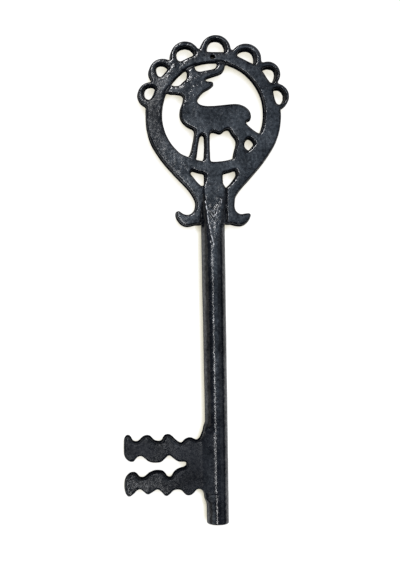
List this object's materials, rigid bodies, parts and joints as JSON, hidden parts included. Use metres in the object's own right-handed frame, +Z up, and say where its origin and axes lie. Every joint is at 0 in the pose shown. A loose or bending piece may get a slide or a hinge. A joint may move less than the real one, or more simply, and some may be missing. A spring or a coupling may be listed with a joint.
{
  "type": "decorative wall key",
  "caption": "Large decorative key for a wall: a ring with an antelope inside it, a crown of loops, two hooked arms, a round shank and a bit with wavy tines.",
  "frame": {"origin": "centre of the hanging hole, midway between the front and back faces", "axes": "+Z up along the key as it hangs, -Y the front face, +X to the right as seen from the front"},
  "size_m": [0.1181, 0.016, 0.3406],
  "materials": {
    "black_iron": "semi-gloss black paint over rough sand-cast iron"
  },
  "bodies": {
    "root": {"bow_ring": "black_iron", "crown_loop_1": "black_iron", "crown_loop_2": "black_iron", "crown_loop_3": "black_iron", "crown_loop_4": "black_iron", "crown_loop_5": "black_iron", "crown_loop_6": "black_iron", "crown_loop_7": "black_iron", "antelope": "black_iron", "left_arm": "black_iron", "right_arm": "black_iron", "shank": "black_iron", "bit": "black_iron"}
  },
  "joints": []
}
